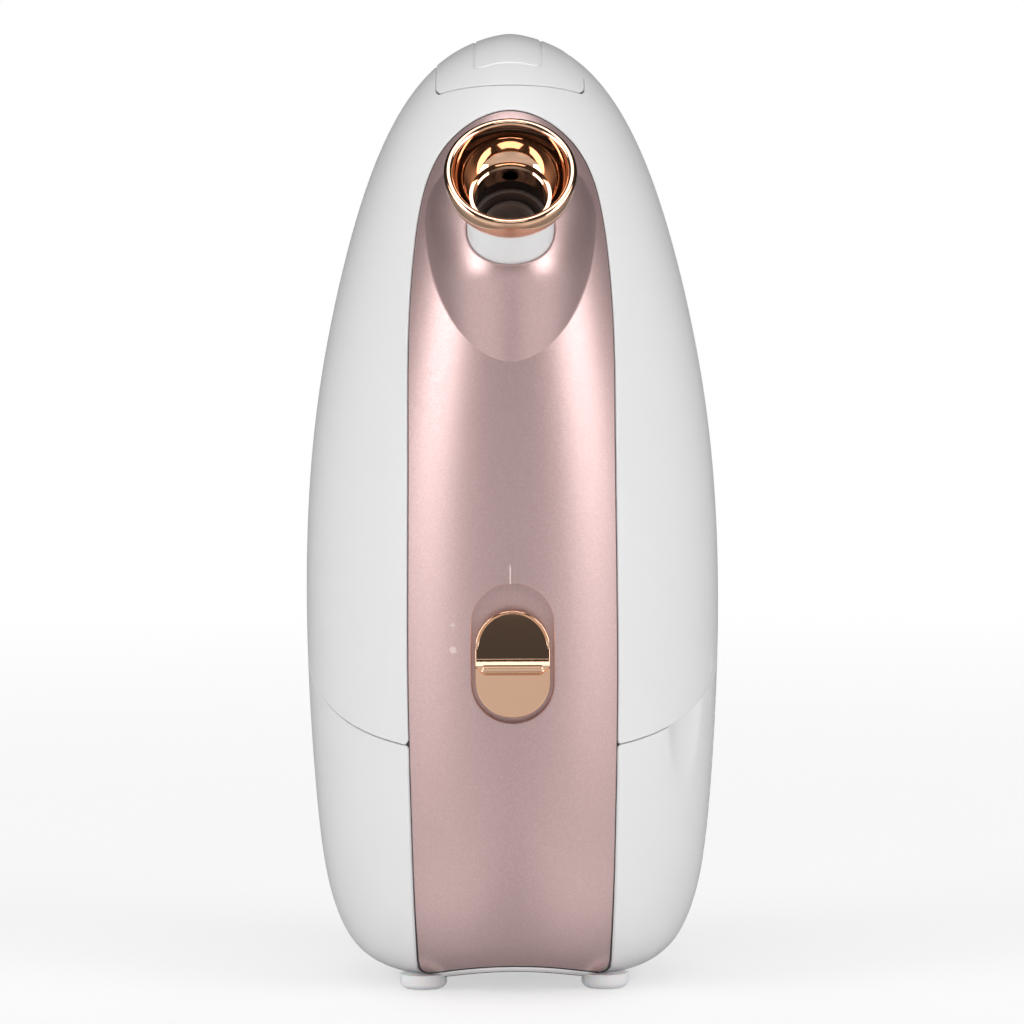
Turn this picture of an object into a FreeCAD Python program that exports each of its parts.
import FreeCAD, Part
import math
import os
import Sketcher
from FreeCAD import Vector, Placement, Rotation

# Facial steamer: an egg-shaped housing with a metallic front panel, a turning
# steam nozzle with a trumpet, a slide switch, and a lift-out water tank.
# Millimetres, +Z up, front of the steamer towards -Y, standing on z = 0.
# Every piece is drawn round the egg's upright axis (x = y = 0) or in a frame of
# its own, and then placed, with the egg's axis at y = axis_y.
doc = FreeCAD.newDocument("facial_steamer")
sheet = doc.addObject("Spreadsheet::Sheet", "Params")

# Driving dimensions; tilts are in degrees. hole_y, slide_y and cap_front are
# measured forwards from the egg's axis; boiler_y, valve_y and tank_front are
# plain y values from it.
CELLS = [
    # egg-shaped housing
    ("axis_y", "17.28"), ("egg_top", "282.4"), ("egg_half_width", "61.7"),
    ("egg_half_depth", "79.5"), ("wall", "2.4"), ("seam", "0.25"), ("floor_z", "8.5"),
    ("cap_proud", "0.12"), ("scoop_deep", "1.5"),
    # front panel
    ("panel_half", "30.3"), ("panel_sink", "0.3"), ("panel_gap", "0.35"),
    ("panel_top", "260.4"),
    # arch under the base, and the feet
    ("arch_rise", "4.2"), ("arch_half", "24"),
    ("foot_x", "27"), ("foot_y", "30"), ("foot_rad", "7"),
    # nozzle
    ("hole_y", "82"), ("hole_z", "229"), ("nozzle_tilt", "38"), ("hole_rad", "13.1"),
    ("neck_rad", "12.55"), ("neck_bore", "10.9"), ("neck_in", "15"), ("neck_out", "11.6"),
    ("spigot_rad", "11.95"), ("spigot_out", "14.2"),
    ("rim_at", "25.4"), ("rim_rad", "19.1"), ("rim_tube", "1.35"),
    ("horn_small", "13.9"), ("horn_start", "11.7"), ("horn_fit", "12.0"),
    ("socket_rad", "12.62"), ("socket_out", "14.9"), ("socket_in", "17"),
    # slide switch
    ("slide_y", "76.3"), ("slide_z", "104"), ("slide_tilt", "3.7"),
    ("recess_w", "24"), ("recess_l", "41"), ("recess_d", "3.4"),
    ("knob_w", "21.8"), ("knob_l", "31.6"), ("knob_off", "-3.0"), ("knob_base", "0.1"),
    ("slot_w", "6.4"), ("slot_l", "20"), ("stem_w", "6.2"), ("stem_l", "7"),
    ("tray_t", "1.8"),
    # water tank, its well, cap and valve
    ("tank_half", "21.6"), ("tank_front", "8"), ("tank_wall", "1.8"),
    ("tank_low", "95"), ("tank_high", "236"),
    ("well_half", "22.05"), ("well_wall", "1.6"), ("well_floor", "86"),
    ("cap_front", "50.2"), ("valve_y", "38"), ("fill_rad", "14"), ("pin_rad", "1.6"),
    # boiler and pipes
    ("boiler_y", "-20"), ("boiler_rad", "21"), ("boiler_low", "30"), ("boiler_hi", "38"),
    ("boiler_wall", "3"), ("cover_t", "4"), ("gasket_t", "1.2"),
    ("duct_rad", "5.6"), ("duct_bore", "4.2"), ("tube_rad", "3"),
    ("screw_rad", "1.5"), ("screw_head", "2.8"),
    # electrics
    ("board_t", "1.6"), ("inlet_w", "22"), ("inlet_h", "12"), ("inlet_z", "34"),
]
for row, (alias, text) in enumerate(CELLS, 1):
    sheet.set("A%d" % row, alias)
    sheet.set("B%d" % row, text)
    sheet.setAlias("B%d" % row, alias)
doc.recompute()


# ---------------------------------------------------------------- bound values
class Bound:
    """A value together with the sheet expression it comes from."""

    def __init__(self, value, text):
        self.value = float(value)
        self.text = text

    def __add__(self, other):
        other = bound(other)
        return Bound(self.value + other.value, "(%s + %s)" % (self.text, other.text))

    def __sub__(self, other):
        other = bound(other)
        return Bound(self.value - other.value, "(%s - %s)" % (self.text, other.text))

    def __mul__(self, other):
        other = bound(other)
        return Bound(self.value * other.value, "(%s * %s)" % (self.text, other.text))

    def __truediv__(self, other):
        other = bound(other)
        return Bound(self.value / other.value, "(%s / %s)" % (self.text, other.text))

    def __neg__(self):
        return Bound(-self.value, "(0 - %s)" % self.text)


def bound(number):
    return number if isinstance(number, Bound) else Bound(number, "%.6f" % number)


def size(alias):
    """Plain number from the sheet."""
    return float(getattr(sheet, alias))


def dim(alias):
    """Sheet value that carries its expression."""
    return Bound(size(alias), "Params." + alias)


# ---------------------------------------------------------------- frames
AXIS_Y = size("axis_y")


def world(y=0.0, x=0.0):
    return Placement(Vector(x, AXIS_Y + y, 0), Rotation())


def nozzle_frame(along=0.0):
    """Local z runs out along the nozzle, from the hole in the panel."""
    tilt = math.radians(size("nozzle_tilt"))
    origin = Vector(0, AXIS_Y - size("hole_y") - math.cos(tilt) * along,
                    size("hole_z") + math.sin(tilt) * along)
    return Placement(origin, Rotation(Vector(1, 0, 0), 90 - size("nozzle_tilt")))


def slide_frame(axis_y=AXIS_Y):
    """Local y runs up the panel and local z out of it."""
    return Placement(Vector(0, axis_y - size("slide_y"), size("slide_z")),
                     Rotation(Vector(1, 0, 0), 90 + size("slide_tilt")))


# ---------------------------------------------------------------- sketches
# A loop is either a tuple (x, y, radius) for a circle or a list of points for a
# closed outline. A point (x, y) starts a line to the next point; a point
# (x, y, radius, side) starts an arc that bulges left (+1) or right (-1).
def constrain(target, kind, *args):
    value = args[-1]
    literal_zero = abs(value.value) < 1e-9 and value.text in ("0.000000", "-0.000000")
    if literal_zero and kind in ("DistanceX", "DistanceY"):
        axis = -2 if kind == "DistanceX" else -1
        target.addConstraint(Sketcher.Constraint("PointOnObject", args[2], args[3], axis))
        return
    index = target.addConstraint(Sketcher.Constraint(kind, *args[:-1], value.value))
    label = "c%d" % index
    target.renameConstraint(index, label)
    target.setExpression("Constraints." + label, value.text)


def place_point(target, edge, point, x, y):
    constrain(target, "DistanceX", -1, 1, edge, point, x)
    constrain(target, "DistanceY", -1, 1, edge, point, y)


def add_circle(target, x, y, radius):
    x, y, radius = bound(x), bound(y), bound(radius)
    edge = target.addGeometry(
        Part.Circle(Vector(x.value, y.value, 0), Vector(0, 0, 1), radius.value))
    place_point(target, edge, 3, x, y)
    constrain(target, "Radius", edge, radius)


def add_arc(target, start, end, y, radius, side):
    """Return the edge, its start and end point numbers, and what holds its bulge."""
    chord = end - start
    normal = Vector(-chord.y, chord.x, 0) * (side / chord.Length)
    rise = math.sqrt(max(radius.value ** 2 - chord.Length ** 2 / 4, 0.0))
    middle = (start + end) * 0.5 + normal * (radius.value - rise)
    edge = target.addGeometry(Part.ArcOfCircle(start, middle, end))
    # a half circle is held by the height of its centre, any other arc by its radius
    if abs(chord.Length - 2 * radius.value) < 1e-6:
        hold = ("DistanceY", -1, 1, edge, 3, y)
    else:
        hold = ("Radius", edge, radius)
    forward = (target.getPoint(edge, 1) - start).Length < 1e-6
    return (edge, 1, 2, hold) if forward else (edge, 2, 1, hold)


def add_outline(target, points):
    corners = [Vector(bound(p[0]).value, bound(p[1]).value, 0) for p in points]
    edges = []
    for i, point in enumerate(points):
        start, end = corners[i], corners[(i + 1) % len(points)]
        if len(point) == 2:
            edge = target.addGeometry(Part.LineSegment(start, end))
            edges.append((edge, 1, 2, None))
        else:
            edges.append(add_arc(target, start, end, bound(point[1]), bound(point[2]), point[3]))
    for i, (edge, _, last, _) in enumerate(edges):
        next_edge, next_first = edges[(i + 1) % len(edges)][:2]
        target.addConstraint(
            Sketcher.Constraint("Coincident", edge, last, next_edge, next_first))
    for point, (edge, first, _, hold) in zip(points, edges):
        place_point(target, edge, first, bound(point[0]), bound(point[1]))
        if hold is not None:
            constrain(target, *hold)


def sketch(owner, name, plane, loops, offset=None):
    result = owner.newObject("Sketcher::SketchObject", name)
    base = [f for f in owner.Origin.OriginFeatures if f.Role == plane + "_Plane"][0]
    result.AttachmentSupport = [(base, "")]
    result.MapMode = "FlatFace"
    if offset is not None:
        offset = bound(offset)
        result.AttachmentOffset = Placement(Vector(0, 0, offset.value), Rotation())
        result.setExpression("AttachmentOffset.Base.z", offset.text)
    for loop in loops:
        if isinstance(loop, tuple):
            add_circle(result, *loop)
        else:
            add_outline(result, loop)
    return result


def rect(x0, x1, y0, y1):
    return [(x0, y0), (x1, y0), (x1, y1), (x0, y1)]


def centred_rect(half_x, half_y):
    return rect(-half_x, half_x, -half_y, half_y)


def stadium(width, length, centre_y):
    radius, straight = width / 2, (length - width) / 2
    return [(-radius, centre_y - straight, radius, -1), (radius, centre_y - straight),
            (radius, centre_y + straight, radius, -1), (-radius, centre_y + straight)]


# ---------------------------------------------------------------- pieces
NODES = []


def body(name, place):
    result = doc.addObject("PartDesign::Body", name)
    result.Label = name
    result.Placement = place
    NODES.append(result)
    return result


def feature(name, shape, place=None):
    result = doc.addObject("Part::Feature", name)
    result.Label = name
    result.Shape = shape
    result.Placement = place or world()
    NODES.append(result)


def extrude(kind, owner, name, profile, length, reverse, mid):
    result = owner.newObject("PartDesign::" + kind, name)
    result.Profile = profile
    length = bound(length)
    result.Length = length.value
    result.setExpression("Length", length.text)
    if mid:
        result.SideType = "Symmetric"
    result.Reversed = reverse
    profile.Visibility = False


def pad(owner, name, outline, plane, loops, length, offset=None, reverse=False, mid=False):
    profile = sketch(owner, outline, plane, loops, offset)
    extrude("Pad", owner, name, profile, length, reverse, mid)


def pocket(owner, name, outline, plane, loops, length, offset=None, reverse=False, mid=False):
    profile = sketch(owner, outline, plane, loops, offset)
    doc.recompute()
    before = owner.Shape.Volume
    extrude("Pocket", owner, name, profile, length, reverse, mid)
    doc.recompute()
    if not owner.Shape.Volume < before - 1e-6:
        raise RuntimeError("%s %s cuts nothing" % (owner.Label, name))


def revolve(owner, name, outline, loops):
    profile = sketch(owner, outline, "XZ", loops)
    result = owner.newObject("PartDesign::Revolution", name)
    result.Profile = profile
    result.ReferenceAxis = (profile, ["V_Axis"])
    result.Angle = 360


def turned(name, points, place):
    """A turned piece: outline of (radius, height) about its own z."""
    result = body(name, place)
    revolve(result, name + "_turn", name + "_profile", [points])
    return result


def box(x0, x1, y0, y1, z0, z1):
    return Part.makeBox(x1 - x0, y1 - y0, z1 - z0, Vector(x0, y0, z0))


def cylinder(radius, height, x, y, z):
    return Part.makeCylinder(radius, height, Vector(x, y, z))


# ---------------------------------------------------------------- egg surface
# Control rows of the egg from the foot ring up to the crown: half width, z, half
# depth. The last two rows share one height so the crown is smooth.
EGG_ROWS = [
    (33.0, 2.5, 35.0),
    (45.79, 4.0, 44.0),
    (55.82, 22.35, 62.0),
    (58.46, 40.0, 74.0),
    (66.92, 149.78, 79.0),
    (50.25, 214.11, 80.58),
    (39.21, 255.43, 77.64),
    (19.06, 278.61, 35.0),
    (3.0, 282.4, 12.0),
    (0.0, 282.4, 0.0),
]
# Half width, top and half depth of the egg that the control rows describe
EGG_NOMINAL = (61.7, 282.4, 79.5)
EGG_KNOTS = [0.0, 0.12, 0.3, 0.55, 0.8, 0.93, 1.0]
RING = 24  # control points round each row
# Pushes the control points out so that the closed cubic reaches the rows' sizes
RING_FACTOR = 3.0 / (2.0 + math.cos(2 * math.pi / RING))


def ring_surface(poles, mults, knots, degree):
    """Face closed round z, from RING lines of control points running upwards."""
    surface = Part.BSplineSurface()
    surface.buildFromPolesMultsKnots(poles, [1] * (RING + 1), mults,
                                     [float(i) for i in range(RING + 1)], knots,
                                     True, False, 3, degree)
    return surface.toShape()


def inset_rows(inset):
    """Control rows moved inwards along their own normals."""
    scales = (size("egg_half_width") / EGG_NOMINAL[0], size("egg_top") / EGG_NOMINAL[1],
              size("egg_half_depth") / EGG_NOMINAL[2])
    half_x, height, half_y = ([v * scale for v in column]
                              for column, scale in zip(zip(*EGG_ROWS), scales))
    new_x, new_z, new_y = [], [], []
    count = len(height)
    for i in range(count):
        before, after = max(i - 1, 0), min(i + 1, count - 1)
        run_x = half_x[after] - half_x[before]
        run_y = half_y[after] - half_y[before]
        rise = height[after] - height[before]
        slant_x, slant_y = math.hypot(run_x, rise), math.hypot(run_y, rise)
        new_x.append(half_x[i] - inset * rise / slant_x)
        new_y.append(half_y[i] - inset * rise / slant_y)
        new_z.append(height[i] + inset * (run_x / slant_x + run_y / slant_y) / 2)
    # the crown stays flat and closed, the foot ring moves straight up
    new_x[-1] = new_y[-1] = 0.0
    new_x[-2], new_y[-2] = half_x[-2], half_y[-2]
    new_z[-1] = new_z[-2] = height[-1] - inset
    new_z[0] = height[0] + inset
    new_z[1] = max(new_z[1], new_z[0] + 0.6)
    return new_x, new_z, new_y


def egg(inset):
    half_x, height, half_y = inset_rows(inset)
    poles = []
    for i in range(RING):
        angle = 2 * math.pi * i / RING
        poles.append([Vector(RING_FACTOR * x * math.cos(angle),
                             RING_FACTOR * y * math.sin(angle), z)
                      for x, z, y in zip(half_x, height, half_y)])
    face = ring_surface(poles, [5, 1, 1, 1, 1, 1, 5], EGG_KNOTS, 4)
    rim = [e for e in face.Edges
           if e.BoundBox.ZMax < height[0] + 0.01 and e.BoundBox.ZMin > height[0] - 0.01
           and e.Length > 10]
    bottom = Part.Face(Part.Wire(rim))
    solid = Part.Solid(Part.Shell([face, bottom]))
    if solid.Volume < 0:
        solid.reverse()
    solid.fix(1e-4, 1e-4, 1e-3)
    return solid


# ---------------------------------------------------------------- cutting shapes
ABOVE = 330  # clear of the crown
# Parting line between upper and lower shell, seen from the side: y, z
SEAM = [(-100, 70), (-84, 72.6), (-64, 76), (-48, 80), (-33, 85), (-20, 90), (-9, 96),
        (0, 106), (9, 121), (20, 138), (34, 151), (52, 158), (72, 160), (100, 160.5)]


def below_seam(shift):
    curve = Part.BSplineCurve()
    curve.interpolate([Vector(-90, y, z + shift) for y, z in SEAM])
    front = Vector(-90, SEAM[0][0], SEAM[0][1] + shift)
    back = Vector(-90, SEAM[-1][0], SEAM[-1][1] + shift)
    low_front, low_back = Vector(-90, front.y, -20), Vector(-90, back.y, -20)
    outline = Part.Wire([curve.toShape(), Part.makeLine(back, low_back),
                         Part.makeLine(low_back, low_front), Part.makeLine(low_front, front)])
    return Part.Face(outline).extrude(Vector(180, 0, 0))


# Right edge of the front panel, from the bottom up: x from panel_half, z
PANEL_SIDE = [(-1.9, 9), (-1.0, 30), (-0.2, 60), (0.35, 90), (0.2, 130), (-0.1, 170),
              (-0.7, 200), (-2.9, 222), (-7.6, 240), (-15.6, 253.6)]


def panel_outline(grow):
    """Front view of the panel: arched top, bottom edge arched up between the feet."""
    corner, corner_mid = 3.0, 0.88
    base_z = 4.6 - grow
    right = [Vector(size("panel_half") + dx + grow * 0.985, 0,
                    z + (grow * 0.6 if z > 240 else 0)) for dx, z in PANEL_SIDE]
    left = [Vector(-p.x, 0, p.z) for p in reversed(right)]
    side = Part.BSplineCurve()
    side.interpolate(right + [Vector(0, 0, size("panel_top") + grow)] + left)
    low_right = Vector(right[0].x - 0.25, 0, base_z + corner)
    low_left = Vector(left[-1].x + 0.25, 0, base_z + corner)
    base_left = Vector(low_left.x + corner, 0, base_z)
    base_right = Vector(low_right.x - corner, 0, base_z)
    outline = Part.Wire([
        side.toShape(),
        Part.makeLine(left[-1], low_left),
        Part.Arc(low_left, Vector(low_left.x + corner_mid, 0, base_z + corner_mid),
                 base_left).toShape(),
        Part.Arc(base_left, Vector(0, 0, base_z + 4.0), base_right).toShape(),
        Part.Arc(base_right, Vector(low_right.x - corner_mid, 0, base_z + corner_mid),
                 low_right).toShape(),
        Part.makeLine(low_right, right[0])])
    face = Part.Face(outline)
    face.translate(Vector(0, -130, 0))
    return face.extrude(Vector(0, 130, 0))


def slot_plan(half, front, z0):
    """Plan of the cap and tank slot, extruded upwards; it is open to the rear."""
    # the front edge follows a level line of the egg, with small round corners
    def at(x, y):
        return Vector(x, y, z0)

    back, side_y, corner_y, corner_mid_y = 120.0, 18.2 - front, 11.3 - front, 14.4 - front
    back_left, back_right = at(-half, back), at(half, back)
    side_left, side_right = at(-half, side_y), at(half, side_y)
    corner_left, corner_right = at(4.1 - half, corner_y), at(half - 4.1, corner_y)
    outline = Part.Wire([
        Part.makeLine(back_left, side_left),
        Part.Arc(side_left, at(0.95 - half, corner_mid_y), corner_left).toShape(),
        Part.Arc(corner_left, at(0, -front), corner_right).toShape(),
        Part.Arc(corner_right, at(half - 0.95, corner_mid_y), side_right).toShape(),
        Part.makeLine(side_right, back_right),
        Part.makeLine(back_right, back_left)])
    return Part.Face(outline).extrude(Vector(0, 0, ABOVE - z0))


def base_arch():
    """Cylinder along y whose top arches up under the base."""
    rise, half_span = size("arch_rise"), size("arch_half")
    radius = (half_span ** 2 + rise ** 2) / (2 * rise)
    foot_z = EGG_ROWS[0][1]
    return Part.makeCylinder(radius, 240, Vector(0, -120, foot_z + rise - radius),
                             Vector(0, 1, 0))


INNER_EGG = egg(size("wall"))
SLOT_CUT = slot_plan(size("well_half"), size("cap_front") + 0.35, size("tank_low") - 5)
PANEL_CUT = panel_outline(size("panel_gap"))
PANEL_FACE = panel_outline(0.0)
ARCH = base_arch()
SHELL = egg(0.0).cut(INNER_EGG.common(box(-90, 90, -110, 110, size("floor_z"), ABOVE)))

# half width and half depth of the bottom cover, and its screws' places
COVER_X, COVER_Y = 17.0, 24.0
COVER_SCREWS = [(x, y) for x in (-13.0, 13.0) for y in (-19.5, 19.5)]


# ---------------------------------------------------------------- shells
def upper_shell():
    upper = SHELL.cut(below_seam(size("seam") / 2)).cut(PANEL_CUT).cut(SLOT_CUT)
    feature("upper_shell", upper)


def finger_scoop():
    """Tall ellipsoid that dips into the right side of the base, towards the front."""
    radius, stretch_z, centre_z = 40.0, 2.3, 81.0
    outwards = Vector(0.881, -0.472, 0)
    surface_point = Vector(50.9, -39.6, 0)
    ball = Part.makeSphere(radius, surface_point + outwards * (radius - size("scoop_deep")))
    stretch = FreeCAD.Matrix()
    stretch.scale(Vector(1, 1, stretch_z))
    stretch.move(Vector(0, 0, centre_z))
    return ball.transformGeometry(stretch)


def base_shell():
    gap = 0.2
    base = SHELL.common(below_seam(-size("seam") / 2))
    base = base.cut(PANEL_CUT).cut(SLOT_CUT).cut(ARCH)
    # feet sink into round seats
    for x in (-size("foot_x"), size("foot_x")):
        for y in (-size("foot_y"), size("foot_y")):
            base = base.cut(cylinder(size("foot_rad") + 0.05, 5.0, x, y, -0.6))
    # opening for the bottom cover
    base = base.cut(box(-COVER_X - gap, COVER_X + gap, -COVER_Y - gap, COVER_Y + gap, -5, 20))
    # power inlet opening at the rear
    half_w, half_h = size("inlet_w") / 2 + gap, size("inlet_h") / 2 + gap
    inlet_z = size("inlet_z")
    base = base.cut(box(-half_w, half_w, 40, 100, inlet_z - half_h, inlet_z + half_h))
    # column of small vents on the right side
    for k in range(11):
        z = 37.4 + 4.6 * k
        base = base.cut(box(45, 75, -10.1, -7.9, z, z + 1.3))
    # louvre at the rear, under the tank
    for k in range(5):
        z = 54 + 4.4 * k
        base = base.cut(box(-14, 14, 50, 100, z, z + 1.8))
    feature("base_shell", base.cut(finger_scoop()))


upper_shell()
base_shell()

# ---------------------------------------------------------------- front panel
# Bump round the nozzle, from the bottom up: z, half width, front y. The end rows
# are single points.
BUMP = [(174, 0.0, -60.0), (176.0, 13.87, -72.81), (192, 23.3, -80.85),
        (206, 25.17, -85.9), (217, 26.21, -90.77), (229, 27.4, -83.51),
        (241, 25.52, -75.93), (253.2, 15.54, -69.21), (259.6, 0.0, -55.0)]
BUMP_CENTRE_Y = -52.0
BUMP_BACK = 10.0  # greatest depth behind the centre


def bump(inset):
    last = len(BUMP) - 1
    poles = []
    for i in range(RING):
        angle = 2 * math.pi * i / RING
        line = []
        for k, (z, half_width, front_y) in enumerate(BUMP):
            if k < 2:
                z += inset
            elif k > last - 2:
                z -= inset
            if k in (0, last):
                line.append(Vector(0, front_y, z))
                continue
            depth = BUMP_CENTRE_Y - front_y - inset
            if math.sin(angle) >= 0:
                depth = min(depth, BUMP_BACK)
            line.append(Vector(RING_FACTOR * (half_width - inset) * math.cos(angle),
                               BUMP_CENTRE_Y + RING_FACTOR * depth * math.sin(angle), z))
        poles.append(line)
    inner = len(BUMP) - 4
    knots = [float(i) for i in range(inner + 2)]
    face = ring_surface(poles, [4] + [1] * inner + [4], knots, 3)
    solid = Part.Solid(Part.Shell([face]))
    if solid.Volume < 0:
        solid.reverse()
    return solid


NOZZLE_TILT = math.radians(size("nozzle_tilt"))
NOZZLE_OUT = Vector(0, -math.cos(NOZZLE_TILT), math.sin(NOZZLE_TILT))
HOLE_CENTRE = Vector(0, -size("hole_y"), size("hole_z"))


def nozzle_bore(radius, start, end):
    return Part.makeCylinder(radius, end - start, HOLE_CENTRE + NOZZLE_OUT * start, NOZZLE_OUT)


def slide_stadium(width, length, z0, z1):
    """Upright stadium in the slide frame, from z0 to z1 outwards."""
    straight = (length - width) / 2
    solid = box(-width / 2, width / 2, -straight, straight, z0, z1)
    for y in (-straight, straight):
        solid = solid.fuse(cylinder(width / 2, z1 - z0, 0, y, z0))
    solid = solid.removeSplitter()
    solid.Placement = slide_frame(0.0)
    return solid


def front_panel():
    panel = egg(size("panel_sink")).common(PANEL_FACE).cut(INNER_EGG)
    panel = panel.common(box(-90, 90, -110, -20, 0, ABOVE))
    panel = panel.fuse(bump(0.0).common(PANEL_FACE).cut(INNER_EGG))
    panel = panel.cut(bump(2.3).common(box(-90, 90, -86.8, 0, 0, ABOVE)))
    # nozzle hole, wider behind for the socket
    panel = panel.cut(nozzle_bore(size("hole_rad"), -40, 40))
    panel = panel.cut(nozzle_bore(size("socket_out") + 0.4, -40, -6.4))
    # recess tray of the slide switch
    width, length, depth = size("recess_w"), size("recess_l"), size("recess_d")
    under = -depth - size("tray_t")
    rim = 3.2
    tray = slide_stadium(width + rim, length + rim, under, -0.9)
    panel = panel.fuse(tray.common(egg(1.0)))
    panel = panel.cut(slide_stadium(width, length, -depth, 6))
    panel = panel.cut(slide_stadium(size("slot_w"), size("slot_l"), under - 1, 1))
    feature("front_panel", panel.removeSplitter())


front_panel()

# ---------------------------------------------------------------- slide switch
KNOB_MID = dim("knob_off")
TRAY_UNDER = -(dim("recess_d") + dim("tray_t"))


def slide_knob():
    knob = body("slide_knob", slide_frame())
    mid, width, length = KNOB_MID, dim("knob_w"), dim("knob_l")
    base = dim("knob_base") - dim("recess_d")
    low, high = mid - length / 2, mid + length / 2
    # side profile in (up, out): flat lower half, cross ridge, arc over the upper half
    side = [(low, base), (high, base), (high, 0.7), (high - 0.8, 0.7, 13.0, 1),
            (mid + 2.2, 1.4), (mid + 1.6, 2.1), (mid - 1.6, 2.1), (mid - 2.2, 0.5),
            (low, 0.15)]
    pad(knob, "knob_pad", "knob_side", "YZ", [side], width, mid=True)
    # everything outside the stadium is trimmed off
    pocket(knob, "knob_trim", "knob_outline", "XY",
           [stadium(width, length, mid), rect(-width, width, low - 5, high + 5)],
           20, mid=True)


def knob_carrier():
    carrier = body("knob_carrier", slide_frame())
    mid = KNOB_MID
    pad(carrier, "carrier_plate", "carrier_plate_outline", "XY",
        [rect(-8, 8, mid - 9, mid + 9)], 1.8, TRAY_UNDER - 2.0)
    half_w, half_l = dim("stem_w") / 2, dim("stem_l") / 2
    pad(carrier, "carrier_stem", "carrier_stem_outline", "XY",
        [rect(-half_w, half_w, mid - half_l, mid + half_l)],
        dim("tray_t") + dim("knob_base") + 0.2, TRAY_UNDER - 0.2)


def slide_switch():
    mid = KNOB_MID
    switch = body("slide_switch", slide_frame())
    pad(switch, "switch_pad", "switch_case", "XY",
        [rect(-6, 6, mid - 11, mid + 17)], 8, TRAY_UNDER - 14)
    pocket(switch, "switch_pocket", "switch_slot", "XY",
           [rect(-2, 2, mid - 5, mid + 11.6)], 3, TRAY_UNDER - 6)
    lever = body("switch_lever", slide_frame())
    pad(lever, "lever_pad", "lever_outline", "XY",
        [rect(-1.6, 1.6, mid - 2, mid + 2)], 6.6, TRAY_UNDER - 8.6)


def detent_strip():
    """Thin strip beside the carrier plate, with a small nose towards it."""
    strip = body("detent_strip", slide_frame())
    mid, inner_x, outer_x = KNOB_MID, 8.6, 9.2
    outline = [(inner_x, mid - 12), (outer_x, mid - 12), (outer_x, mid + 18),
               (inner_x, mid + 18), (inner_x, mid + 10.0), (8.3, mid + 9.4),
               (inner_x, mid + 8.8)]
    pad(strip, "detent_pad", "detent_outline", "XY", [outline], 3.4, TRAY_UNDER - 3.6)


def switch_bracket():
    """Channel behind the tray, round the switch case and the strip."""
    bracket = body("switch_bracket", slide_frame())
    low, high = KNOB_MID - 14, KNOB_MID + 20
    pad(bracket, "bracket_pad", "bracket_plate", "XY",
        [rect(-12, 12, low, high)], 1.5, TRAY_UNDER - 15.6)
    for k, x in enumerate((-12, 9.3)):
        pad(bracket, "bracket_side%d" % k, "bracket_wall%d" % k, "XY",
            [rect(x, x + 2.7, low, high)], 14.1, TRAY_UNDER - 14.2)


slide_knob()
knob_carrier()
slide_switch()
detent_strip()
switch_bracket()

# ---------------------------------------------------------------- nozzle
NECK_RAD, NECK_BORE = dim("neck_rad"), dim("neck_bore")
SPIGOT_OUT = dim("spigot_out")
DUCT_RAD, DUCT_BORE = dim("duct_rad"), dim("duct_bore")


def nozzle_neck():
    inner_end, shoulder, spigot = -dim("neck_in"), dim("neck_out"), dim("spigot_rad")
    groove = NECK_RAD - 1.0
    turned("nozzle_neck", [
        (NECK_BORE, inner_end), (NECK_RAD, inner_end), (NECK_RAD, -9), (groove, -9),
        (groove, -7), (NECK_RAD, -7), (NECK_RAD, shoulder), (spigot, shoulder),
        (spigot, SPIGOT_OUT - 0.4), (spigot - 0.4, SPIGOT_OUT), (NECK_BORE, SPIGOT_OUT),
    ], nozzle_frame())
    # ring in the neck's groove
    seal_in, seal_out = NECK_RAD - 0.95, NECK_RAD + 0.02
    turned("neck_seal_ring", rect(seal_in, seal_out, -8.85, -7.15), nozzle_frame())


def nozzle_horn():
    """Trumpet over the neck's spigot, with a rounded rim."""
    small, start, fit = dim("horn_small"), dim("horn_start") + 0.05, dim("horn_fit")
    tube, rim, rim_z = dim("rim_tube"), dim("rim_rad"), dim("rim_at")
    horn = body("nozzle_horn", nozzle_frame())
    revolve(horn, "horn_turn", "horn_profile", [[
        (fit, start), (small - 0.5, start), (small, start + 0.5),
        (small, start + 1.2, 14.0, 1),
        (rim - 0.35, rim_z - 1.15, tube, -1),
        (rim - tube * 1.85, rim_z + 0.15, 15.6, -1),
        (NECK_BORE - 0.65, 13.0), (NECK_BORE - 0.65, 7.0), (NECK_BORE - 0.1, 7.0),
        (NECK_BORE - 0.1, SPIGOT_OUT + 0.1), (fit, SPIGOT_OUT + 0.1)]])


def steam_outlet():
    """Cup deep in the neck, with a bored cone in the middle."""
    outlet = body("steam_outlet", nozzle_frame())
    rim = NECK_BORE - 0.1
    inside = NECK_BORE - 1.3
    revolve(outlet, "outlet_turn", "outlet_profile", [[
        (0, -5.5), (rim, -5.5), (rim, 2.5), (inside, 2.5), (inside, -3.4), (7.6, -3.4),
        (7.6, 1.2), (6.0, 1.2), (4.4, -3.2), (0, -3.2)]])
    pocket(outlet, "outlet_bore", "outlet_hole", "XY", [(0, 0, 2.4)], 40, mid=True)


def nozzle_socket():
    """Fixed socket the neck turns in, with a collar for the steam duct."""
    seat, outer, deep = dim("socket_rad"), dim("socket_out"), -dim("socket_in")
    bore, collar = DUCT_RAD + 0.05, DUCT_RAD + 2.5
    turned("nozzle_socket", [
        (bore, deep - 5), (collar, deep - 5), (collar, deep - 2), (outer, deep - 2),
        (outer, -7), (seat, -7), (seat, deep), (bore, deep)], nozzle_frame())


def ion_emitter():
    """Needle beside the steam path."""
    aside = Placement(Vector(0, 9.2, 0), Rotation())
    turned("ion_emitter", [(0, 0), (1.4, 0), (1.4, 6), (0.5, 6.6), (0.15, 9.5), (0, 9.5)],
           nozzle_frame(-16.0).multiply(aside))


nozzle_neck()
nozzle_horn()
steam_outlet()
nozzle_socket()
ion_emitter()


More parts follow.
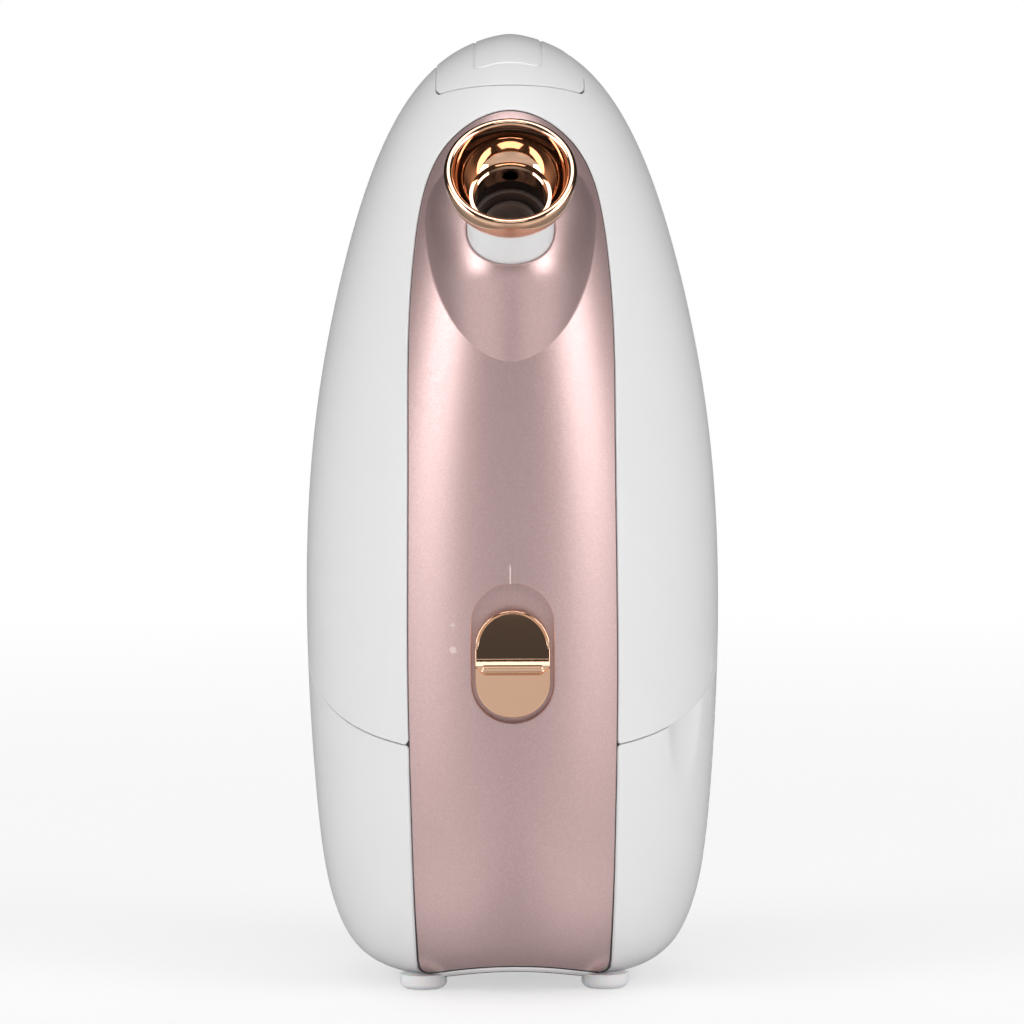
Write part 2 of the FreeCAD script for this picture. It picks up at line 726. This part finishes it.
# ---------------------------------------------------------------- steam duct
def tube(name, points, outer, bore, tangents=None):
    curve = Part.BSplineCurve()
    if tangents:
        curve.interpolate(Points=points, InitialTangent=tangents[0], FinalTangent=tangents[1])
    else:
        curve.interpolate(points)
    direction = curve.tangent(curve.FirstParameter)[0]
    path = Part.Wire([curve.toShape()])

    def sweep(radius):
        section = Part.Wire([Part.Circle(points[0], direction, radius).toShape()])
        return path.makePipeShell([section], True, False)

    feature(name, sweep(outer).cut(sweep(bore)))


BOILER_Y = size("boiler_y")


def steam_duct():
    cover_top = sum(size(n) for n in ("boiler_low", "boiler_hi", "gasket_t", "cover_t"))
    end = HOLE_CENTRE - NOZZLE_OUT * (size("socket_in") + 4.6)
    tube("steam_duct", [
        Vector(0, BOILER_Y, cover_top + 0.4), Vector(0, BOILER_Y, cover_top + 10),
        Vector(0, BOILER_Y - 1, 120), Vector(0, BOILER_Y - 2, 165), Vector(0, -40, 197),
        end - NOZZLE_OUT * 7, end], size("duct_rad"), size("duct_bore"))


steam_duct()

# ---------------------------------------------------------------- boiler
BOILER = world(BOILER_Y)
BOILER_RAD, BOILER_LOW = dim("boiler_rad"), dim("boiler_low")
BOILER_BORE = BOILER_RAD - dim("boiler_wall")
BOILER_TOP = BOILER_LOW + dim("boiler_hi")
COVER_LOW = BOILER_TOP + dim("gasket_t")
COVER_TOP = COVER_LOW + dim("cover_t")
FLANGE = BOILER_RAD + 4
SCREW_REACH = FLANGE - 2.6  # from the boiler's axis to each screw
SCREW_RAD = dim("screw_rad")


def flange_holes(radius):
    reach = SCREW_REACH
    return [(reach, 0, radius), (-reach, 0, radius), (0, reach, radius), (0, -reach, radius)]


def boiler_body():
    step = BOILER_TOP - 3
    inner_floor = BOILER_LOW + 6
    boiler = turned("boiler_body", [
        (0, BOILER_LOW), (BOILER_RAD, BOILER_LOW), (BOILER_RAD, step), (FLANGE, step),
        (FLANGE, BOILER_TOP), (BOILER_BORE, BOILER_TOP), (BOILER_BORE, inner_floor),
        (0, inner_floor)], BOILER)
    # water enters through the rear wall
    pocket(boiler, "inlet_pocket", "inlet_bore", "XZ",
           [(0, BOILER_LOW + 14, dim("tube_rad") + 0.3)], 40)
    pocket(boiler, "flange_cut", "flange_holes", "XY", flange_holes(SCREW_RAD + 0.02),
           6, BOILER_TOP + 1)


def boiler_gasket():
    gasket = body("boiler_gasket", BOILER)
    low = BOILER_TOP + 0.02
    pad(gasket, "gasket_pad", "gasket_outline", "XY",
        [(0, 0, FLANGE - 0.2), (0, 0, BOILER_BORE)], dim("gasket_t") - 0.04, low)
    pocket(gasket, "gasket_cut", "gasket_holes", "XY", flange_holes(SCREW_RAD + 0.15),
           40, low, mid=True)


def boiler_cover():
    """Lid with a spout; the steam duct sits in the spout's counterbore."""
    cover = body("boiler_cover", BOILER)
    thick = dim("cover_t")
    pad(cover, "cover_pad", "cover_outline", "XY", [(0, 0, FLANGE)], thick - 1, COVER_LOW)
    pad(cover, "spout_pad", "spout_outline", "XY", [(0, 0, DUCT_RAD + 2.2)],
        thick + 7, COVER_LOW)
    pocket(cover, "cover_cut", "cover_holes", "XY", flange_holes(SCREW_RAD + 0.15),
           60, COVER_LOW, mid=True)
    pocket(cover, "spout_counterbore", "spout_bore", "XY", [(0, 0, DUCT_RAD + 0.05)],
           7.2, COVER_TOP + 0.2, reverse=True)
    pocket(cover, "spout_hole", "spout_through", "XY", [(0, 0, DUCT_BORE)],
           60, COVER_LOW, mid=True)


def boiler_screws():
    head, low, seat, top = (dim("screw_head"), BOILER_TOP - 4.5, COVER_TOP - 0.98,
                            COVER_TOP + 1.2)
    reach = SCREW_REACH.value
    for i, (x, y) in enumerate(((1, 0), (-1, 0), (0, 1), (0, -1)), 1):
        turned("boiler_screw_%d" % i, [
            (0, low), (SCREW_RAD, low), (SCREW_RAD, seat), (head, seat),
            (head, COVER_TOP + 0.8), (head - 0.5, top), (0, top)],
            world(BOILER_Y + y * reach, x * reach))


def heater_ring():
    heater = body("heater_ring", BOILER)
    revolve(heater, "heater_turn", "heater_profile",
            [(BOILER_RAD + 2.6, BOILER_LOW + 8, 2.4)])


def thermostat():
    """Disc under the boiler, with a tab to the front and one to the rear."""
    disc = body("thermostat", BOILER)
    pad(disc, "thermostat_pad", "thermostat_disc", "XY", [(0, 0, 7.5)],
        7.1, BOILER_LOW - 7.2)
    pad(disc, "thermostat_tab_pad", "thermostat_tabs", "XY", [centred_rect(1.5, 11.5)],
        0.8, BOILER_LOW - 6.4)


def thermal_fuse():
    """Level cylinder beside the boiler wall."""
    turn = Placement(Vector(0, 0, 0), Rotation(Vector(0, 0, 1), 55))
    fuse = body("thermal_fuse", world(BOILER_Y).multiply(turn))
    pad(fuse, "fuse_pad", "fuse_outline", "YZ",
        [(BOILER_RAD + 2.2, BOILER_LOW + 22, 1.9)], 14, mid=True)


def heat_shield():
    """Cup under and round the boiler, with a hole in its floor."""
    outer, wall, hole = BOILER_RAD + 6.6, 0.8, 11.5
    low, inner_floor, rim = BOILER_LOW - 8.6, BOILER_LOW - 7.8, BOILER_LOW + 10.4
    turned("heat_shield", [(hole, low), (outer, low), (outer, rim), (outer - wall, rim),
                           (outer - wall, inner_floor), (hole, inner_floor)], BOILER)


boiler_body()
boiler_gasket()
boiler_cover()
boiler_screws()
heater_ring()
thermostat()
thermal_fuse()
heat_shield()


# ---------------------------------------------------------------- bottom cover and feet
def bottom_cover():
    cover = box(-COVER_X, COVER_X, -COVER_Y, COVER_Y, 2, size("floor_z") + 2.2).cut(ARCH)
    pitch, half_slot = 4.2, 0.9
    for k in range(7):
        y = pitch * (k - 3)
        cover = cover.cut(box(-9, 9, y - half_slot, y + half_slot, 0, 20))
    for x, y in COVER_SCREWS:
        cover = cover.cut(cylinder(3.1, 6.9, x, y, 0))
        cover = cover.cut(cylinder(1.6, 20, x, y, 0))
    feature("bottom_cover", cover)


def bottom_screws():
    shank, head, low, seat, tip = 1.5, 2.8, 5.4, 6.88, 13.5
    for i, (x, y) in enumerate(COVER_SCREWS, 1):
        turned("bottom_screw_%d" % i, [
            (0, low), (2.3, low), (head, 5.9), (head, seat), (shank, seat), (shank, tip),
            (0, tip)], world(y, x))


def rubber_feet():
    radius, top = dim("foot_rad"), 4.35
    for i, (x, y) in enumerate(((-1, -1), (1, -1), (-1, 1), (1, 1)), 1):
        turned("rubber_foot_%d" % i, [
            (0, 0), (4.8, 0), (5.8, 0.3), (6.6, 1.0), (radius, 1.9), (radius, top), (0, top)],
            world(y * size("foot_y"), x * size("foot_x")))


bottom_cover()
bottom_screws()
rubber_feet()

# ---------------------------------------------------------------- water tank, cap and well
TANK_HALF, TANK_FRONT = size("tank_half"), size("tank_front")
TANK_LOW, TANK_HIGH = size("tank_low"), size("tank_high")
VALVE_Y = size("valve_y")
WELL_FLOOR_Z = size("well_floor")


def water_tank():
    """Hollow tank that follows the egg at the rear, with a filling neck below."""
    gap, wall = 0.15, size("tank_wall")
    outside = egg(gap).common(
        box(-TANK_HALF, TANK_HALF, TANK_FRONT, 110, TANK_LOW, TANK_HIGH))
    inside = egg(gap + wall).common(
        box(-TANK_HALF + wall, TANK_HALF - wall, TANK_FRONT + wall, 110,
            TANK_LOW + wall, TANK_HIGH - wall))
    tank = outside.cut(inside)
    neck_rad, bore = size("fill_rad") - 2.0, size("fill_rad") - 3.6
    neck = cylinder(neck_rad, 6.0, 0, VALVE_Y, TANK_LOW - 4.0)
    neck = neck.cut(cylinder(bore, 20, 0, VALVE_Y, TANK_LOW - 6.0))
    tank = tank.cut(cylinder(bore, 8, 0, VALVE_Y, TANK_LOW - 3)).fuse(neck)
    feature("water_tank", tank.removeSplitter())


def tank_handle_cap():
    """Proud crown over the slot, from the front edge over the top to the tank."""
    plan = slot_plan(TANK_HALF + 0.22, size("cap_front"), 200)
    deck_z = TANK_HIGH + 0.1
    cap = egg(-size("cap_proud")).common(plan).cut(egg(2.3))
    cap = cap.cut(box(-60, 60, -5, 110, 0, deck_z))
    # deck inside the cap, over the tank
    deck = box(-TANK_HALF + 2.0, TANK_HALF - 2.0, TANK_FRONT + 2, 60,
               deck_z, TANK_HIGH + 2.2).common(egg(2.0))
    cap = cap.fuse(deck.common(egg(1.2)))
    # one rib near each side, from the deck up to the crown
    outer, inner = TANK_HALF - 4, TANK_HALF - 5.6
    left, right = (box(x0, x1, TANK_FRONT + 3, 58, TANK_HIGH + 1.8, 300)
                   for x0, x1 in ((-outer, -inner), (inner, outer)))
    cap = cap.fuse(left.fuse(right).common(egg(1.2)))
    feature("tank_handle_cap", cap.removeSplitter())


def tank_well():
    """Liner that carries the tank."""
    half, front = size("well_half"), TANK_FRONT - 0.5
    wall = size("well_wall")
    inside = egg(size("wall") + 0.12)
    liner = box(-half - wall, half + wall, front - wall, 100, WELL_FLOOR_Z - 2, 268)
    liner = liner.cut(box(-half, half, front, 120, WELL_FLOOR_Z, 300)).common(inside)
    liner = liner.cut(cylinder(7.2, 20, 0, VALVE_Y, WELL_FLOOR_Z - 8))
    # shelf in front of the well, under the cap's front part
    shelf = box(-half - wall, half + wall, -40, front, 246, 248).common(inside)
    feature("tank_well", liner.fuse(shelf).removeSplitter())


water_tank()
tank_handle_cap()
tank_well()

# ---------------------------------------------------------------- tank seat and valve
SEAT = world(VALVE_Y)
WELL_FLOOR = dim("well_floor")
PIN_RAD = dim("pin_rad")
FILL_RAD = dim("fill_rad")
FILL_CAP_LOW = WELL_FLOOR + 2.2


def tank_seat():
    """Stepped bush through the well's floor."""
    bore, mouth, neck, flange = 3.2, 5.4, 7.1, 9.5
    low, ledge, step, top = (WELL_FLOOR - 9, WELL_FLOOR - 5, WELL_FLOOR - 2.1,
                             WELL_FLOOR + 0.9)
    turned("tank_seat", [(bore, low), (flange, low), (flange, step), (neck, step),
                         (neck, top), (mouth, top), (mouth, ledge), (bore, ledge)], SEAT)


def seat_pin():
    """Post on a cross bar, standing on the seat's ledge."""
    pin = body("seat_pin", SEAT)
    low = WELL_FLOOR - 4.95
    pad(pin, "pin_bar_pad", "pin_bar", "XY", [centred_rect(5.3, 0.8)], 1.6, low)
    pad(pin, "pin_post_pad", "pin_post", "XY", [(0, 0, PIN_RAD)], 6.9, low)


def seat_seal():
    low, edge = WELL_FLOOR + 0.95, WELL_FLOOR + 1.9
    turned("seat_seal", [(5.6, low), (7.6, low), (7.6, edge), (6.6, WELL_FLOOR + 2.15),
                         (5.6, edge)], SEAT)


def fill_cap():
    bore, inside = 5.3, FILL_RAD - 1.9
    low, floor_top, rim = FILL_CAP_LOW, FILL_CAP_LOW + 2.2, FILL_CAP_LOW + 6.4
    turned("fill_cap", [(bore, low), (FILL_RAD - 0.5, low), (FILL_RAD, low + 0.5),
                        (FILL_RAD, rim), (inside, rim), (inside, floor_top),
                        (bore, floor_top)], SEAT)
    turned("fill_cap_seal",
           rect(FILL_RAD - 3.7, FILL_RAD - 2.05, low + 2.25, low + 2.75), SEAT)


def valve_guide():
    """Spider that guides the valve stem."""
    guide = body("valve_guide", SEAT)
    ring_low, hub_low = FILL_CAP_LOW + 2.25, FILL_CAP_LOW + 13.25
    pad(guide, "guide_ring_pad", "guide_ring", "XY", [(0, 0, 9.9), (0, 0, 8.3)], 13, ring_low)
    pad(guide, "guide_bar_pad", "guide_bar", "XY", [centred_rect(9.2, 1.4)], 2.0, hub_low)
    pad(guide, "guide_hub_pad", "guide_hub", "XY", [(0, 0, 3.4)], 2.0, hub_low)
    pocket(guide, "guide_bore_cut", "guide_bore", "XY", [(0, 0, PIN_RAD + 0.06)],
           30, hub_low, mid=True)


def valve_poppet():
    """Valve and stem, lifted by the seat pin while the tank is in."""
    low = WELL_FLOOR + 2.0
    head_top, stem_top = low + 7.2, low + 19.5
    turned("valve_poppet", [
        (0, low), (4.2, low), (4.2, low + 3.3), (7.6, low + 5.7), (7.6, head_top),
        (PIN_RAD, head_top), (PIN_RAD, stem_top), (0, stem_top)], SEAT)


def valve_spring():
    pitch, height, coil_rad, wire_rad = 1.05, 5.2, 2.5, 0.3
    helix = Part.makeHelix(pitch, height, coil_rad)
    section = Part.Wire(
        [Part.Circle(Vector(coil_rad, 0, 0), Vector(0, 1, 0), wire_rad).toShape()])
    spring = Part.Wire(helix).makePipeShell([section], True, True)
    place = Placement(Vector(0, AXIS_Y + VALVE_Y, WELL_FLOOR_Z + 9.6), Rotation())
    feature("valve_spring", spring, place)


def water_tube():
    """From the seat down to the rear of the boiler."""
    boiler_back, boiler_low = BOILER_Y + size("boiler_rad"), size("boiler_low")
    tube("water_tube", [
        Vector(0, VALVE_Y, WELL_FLOOR_Z - 9.3), Vector(0, VALVE_Y - 1.6, 60),
        Vector(0, VALVE_Y - 10.5, 49), Vector(0, boiler_back + 11, boiler_low + 14.2),
        Vector(0, boiler_back - 2, boiler_low + 14)],
        2.9, 2.0, (Vector(0, 0, -17), Vector(0, -13, 0)))


tank_seat()
seat_pin()
seat_seal()
fill_cap()
valve_guide()
valve_poppet()
valve_spring()
water_tube()

# ---------------------------------------------------------------- electrics
INLET_Y = 42.5
BOARD_Y = 52
PART_Y = BOARD_Y - size("board_t") - 0.05  # parts stand just in front of the board


def power_inlet():
    """Socket open to the rear, with a flange at its front end."""
    half_w, half_h, mid_z = dim("inlet_w") / 2, dim("inlet_h") / 2, dim("inlet_z")

    def face(grow_x, grow_z):
        wide, high = half_w + grow_x, half_h + grow_z
        return [rect(-wide, wide, mid_z - high, mid_z + high)]

    inlet = body("power_inlet", world(INLET_Y))
    pad(inlet, "inlet_pad", "inlet_face", "XZ", face(0, 0), 20, reverse=True)
    pocket(inlet, "inlet_cavity", "inlet_well", "XZ", face(-2.5, -2), 12, -20, reverse=True)
    pad(inlet, "inlet_flange_pad", "inlet_flange", "XZ", face(3, 2.4), 2, reverse=True)
    for i, x in enumerate((-4, 4)):
        pin = body("inlet_pin_%d" % (i + 1), world(INLET_Y + 8.2))
        pad(pin, "pin_pad%d" % i, "pin_circle%d" % i, "XZ", [(x, mid_z, 1.2)], 9,
            reverse=True)


def boards():
    # body, pad, sketch, sketch plane, loop, thickness, place
    for name, pad_name, outline, plane, loop, thickness, place in (
            ("power_board", "board_pad", "board_outline", "XZ",
             rect(-26, 26, 48, 74), dim("board_t"), world(BOARD_Y)),
            ("board_transformer", "transformer_pad", "transformer_outline", "XZ",
             rect(-22, -6, 52, 70), 12, world(PART_Y)),
            ("board_capacitor", "capacitor_pad", "capacitor_outline", "XZ",
             (14, 61, 5), 14, world(PART_Y)),
            ("ion_module", "module_pad", "module_outline", "YZ",
             rect(-12, 14, 160, 182), 12, world(-18, 27)),
            ("control_board", "control_pad", "control_outline", "YZ",
             rect(-20, 20, 120, 150), dim("board_t"), world(-12, -36))):
        pad(body(name, place), pad_name, outline, plane, [loop], thickness)


power_inlet()
boards()

# ---------------------------------------------------------------- check and export
doc.recompute()
bad = ["%s %s" % (o.Name, o.State) for o in doc.Objects
       if "Invalid" in o.State or "Error" in o.State]
for node in NODES:
    if node.Shape.isNull() or not node.Shape.isValid():
        bad.append("%s shape" % node.Label)
    elif len(node.Shape.Solids) != 1:
        bad.append("%s has %d solids" % (node.Label, len(node.Shape.Solids)))
if bad:
    raise RuntimeError("; ".join(bad))
os.makedirs("parts", exist_ok=True)
for node in NODES:
    node.Shape.exportStep("parts/%s.step" % node.Label)
